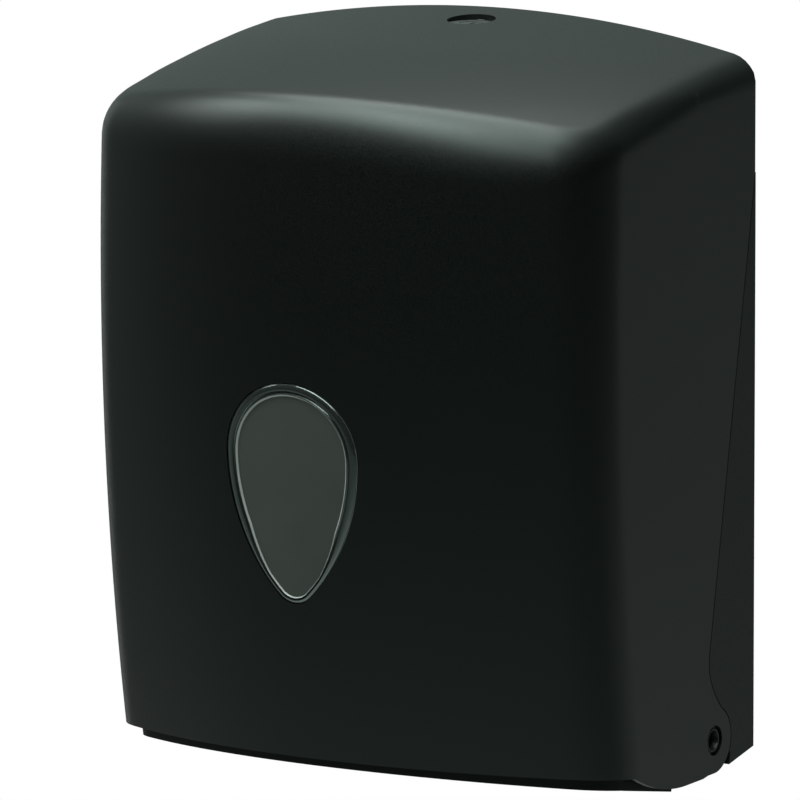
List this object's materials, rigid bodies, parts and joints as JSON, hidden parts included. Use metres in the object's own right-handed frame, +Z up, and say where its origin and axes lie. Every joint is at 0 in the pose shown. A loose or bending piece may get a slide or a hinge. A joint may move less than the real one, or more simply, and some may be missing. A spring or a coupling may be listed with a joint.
{
  "type": "centrefeed roll dispenser",
  "caption": "Wall dispenser for a centrefeed paper roll: bowed black cover with a drop window tips forward on pins, key lock on top, tear nozzle below.",
  "frame": {"origin": "centre of the rectangle of four wall screw holes, on the wall plane", "axes": "+X to the right when facing the dispenser, +Y into the wall, +Z up; the front faces -Y"},
  "size_m": [0.28, 0.2015, 0.3605],
  "materials": {
    "cover_abs": "fine-grained moulded black",
    "chassis_abs": "matt moulded black",
    "nozzle_plastic": "matt mid grey",
    "smoked_clear": "smoked, polished",
    "seal_rubber": "matt black",
    "pin_plastic": "satin black",
    "washer_nylon": "natural white",
    "lock_acetal": "satin dark grey",
    "steel": "zinc plated"
  },
  "bodies": {
    "chassis": {"back_plate": "chassis_abs", "roll_shelf": "chassis_abs", "shelf_screws": "steel", "nozzle_collar": "nozzle_plastic", "nozzle_nut": "nozzle_plastic", "paper_brake": "seal_rubber", "brake_ring": "nozzle_plastic", "tear_ring": "nozzle_plastic", "keeper_plate": "steel", "keeper_screws": "steel", "hinge_pin_left": "pin_plastic", "hinge_pin_right": "pin_plastic", "hinge_washers": "washer_nylon", "pin_clips": "steel"},
    "cover": {"front_cover": "cover_abs", "window_lens": "smoked_clear", "window_seal": "seal_rubber", "window_frame": "chassis_abs", "lock_body": "lock_acetal", "lock_washer": "steel", "lock_nut": "lock_acetal"},
    "lock": {"lock_plug": "lock_acetal", "lock_cam": "steel", "cam_screw": "steel"}
  },
  "joints": [
    {"name": "cover_hinge", "type": "hinge", "parent": "chassis", "child": "cover", "pos_m": [0, -0.0388, -0.1653], "axis": [1, 0, 0], "range_deg": [0, 75]},
    {"name": "lock_turn", "type": "hinge", "parent": "cover", "child": "lock", "pos_m": [0, -0.0295, 0.165], "axis": [0, 0, 1], "range_deg": [0, 90]}
  ]
}
